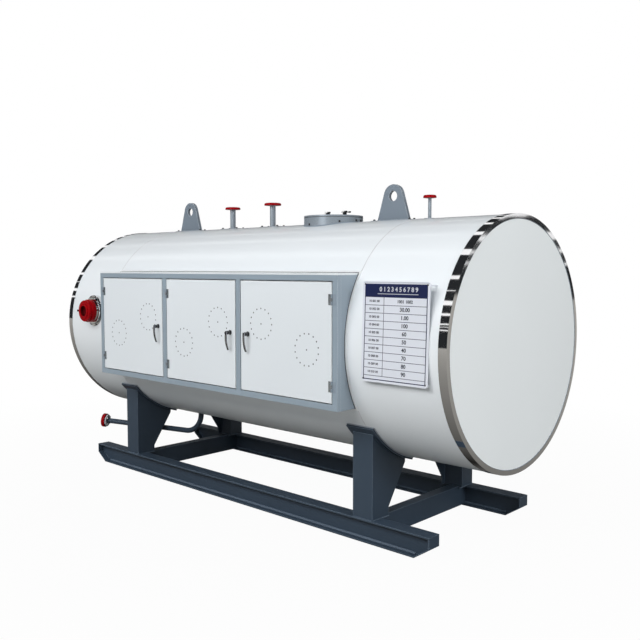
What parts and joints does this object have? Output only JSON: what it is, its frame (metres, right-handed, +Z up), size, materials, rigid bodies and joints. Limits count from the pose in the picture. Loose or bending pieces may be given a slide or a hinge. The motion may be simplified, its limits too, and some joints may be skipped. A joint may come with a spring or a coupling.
{
  "type": "industrial boiler",
  "caption": "Lying cylindrical industrial boiler on a steel skid, with a shallow hinged-door cabinet along its front, lifting lugs, capped pipe stubs and a round top cover.",
  "frame": {"origin": "on the floor, at the middle of the whole boiler's plan", "axes": "+X along the barrel towards the end with the data plate, -Y towards the cabinet doors, +Z up"},
  "size_m": [3.725, 1.6084, 2.171],
  "materials": {
    "barrel_white": "gloss",
    "end_white": "satin",
    "polished_steel": "polished",
    "cabinet_grey": "satin",
    "door_white": "satin",
    "fitting_grey": "satin",
    "skid_slate": "satin",
    "cap_red": "gloss",
    "hinge_steel": "satin",
    "lever_chrome": "polished",
    "plate_white": "satin",
    "trim_steel": "satin"
  },
  "bodies": {
    "boiler": {"barrel_shell_left": "barrel_white", "barrel_shell_middle": "barrel_white", "barrel_shell_right": "barrel_white", "cabinet_bottom": "cabinet_grey", "cabinet_frame": "cabinet_grey", "cabinet_side_left": "cabinet_grey", "cabinet_side_right": "cabinet_grey", "cabinet_top": "cabinet_grey", "cabinet_trim": "trim_steel", "cover": "fitting_grey", "cover_latches": "lever_chrome", "cover_neck": "fitting_grey", "cross_beam_left": "skid_slate", "cross_beam_right": "skid_slate", "data_plate": "plate_white", "drain_cap": "cap_red", "drain_pipe": "skid_slate", "end_plate_left": "end_white", "end_plate_right": "end_white", "end_ring_left": "polished_steel", "end_ring_right": "polished_steel", "hinge_leaves_frame": "hinge_steel", "leg_front_left": "skid_slate", "leg_front_right": "skid_slate", "leg_rear_left": "skid_slate", "leg_rear_right": "skid_slate", "lifting_lug_left": "fitting_grey", "lifting_lug_right": "fitting_grey", "lug_pads": "fitting_grey", "pipe_collars": "fitting_grey", "saddle_pads": "skid_slate", "side_nozzle": "polished_steel", "side_nozzle_cap": "cap_red", "skid_front": "skid_slate", "skid_rear": "skid_slate", "top_cap_left": "cap_red", "top_cap_middle": "cap_red", "top_cap_right": "cap_red", "top_pipes": "fitting_grey"},
    "door_left": {"door_left": "door_white", "handle_rose_left": "lever_chrome", "hinge_leaves_left": "hinge_steel"},
    "lever_left": {"handle_lever_left": "lever_chrome"},
    "door_middle": {"door_middle": "door_white", "handle_rose_middle": "lever_chrome", "hinge_leaves_middle": "hinge_steel"},
    "lever_middle": {"handle_lever_middle": "lever_chrome"},
    "door_right": {"door_right": "door_white", "handle_rose_right": "lever_chrome", "hinge_leaves_right": "hinge_steel"},
    "lever_right": {"handle_lever_right": "lever_chrome"}
  },
  "joints": [
    {"name": "door_left_hinge", "type": "hinge", "parent": "boiler", "child": "door_left", "pos_m": [-1.227, -0.7673, 1.205], "axis": [0, 0, -1], "range_deg": [0, 110]},
    {"name": "door_middle_hinge", "type": "hinge", "parent": "boiler", "child": "door_middle", "pos_m": [-0.418, -0.7673, 1.205], "axis": [0, 0, -1], "range_deg": [0, 90]},
    {"name": "door_right_hinge", "type": "hinge", "parent": "boiler", "child": "door_right", "pos_m": [1.139, -0.7673, 1.205], "axis": [0, 0, 1], "range_deg": [0, 110]},
    {"name": "lever_left_turn", "type": "hinge", "parent": "door_left", "child": "lever_left", "pos_m": [-0.516, -0.7628, 1.218], "axis": [0, 1, 0], "range_deg": [0, 90]},
    {"name": "lever_middle_turn", "type": "hinge", "parent": "door_middle", "child": "lever_middle", "pos_m": [0.262, -0.7628, 1.218], "axis": [0, 1, 0], "range_deg": [0, 90]},
    {"name": "lever_right_turn", "type": "hinge", "parent": "door_right", "child": "lever_right", "pos_m": [0.432, -0.7628, 1.218], "axis": [0, -1, 0], "range_deg": [0, 90]}
  ]
}
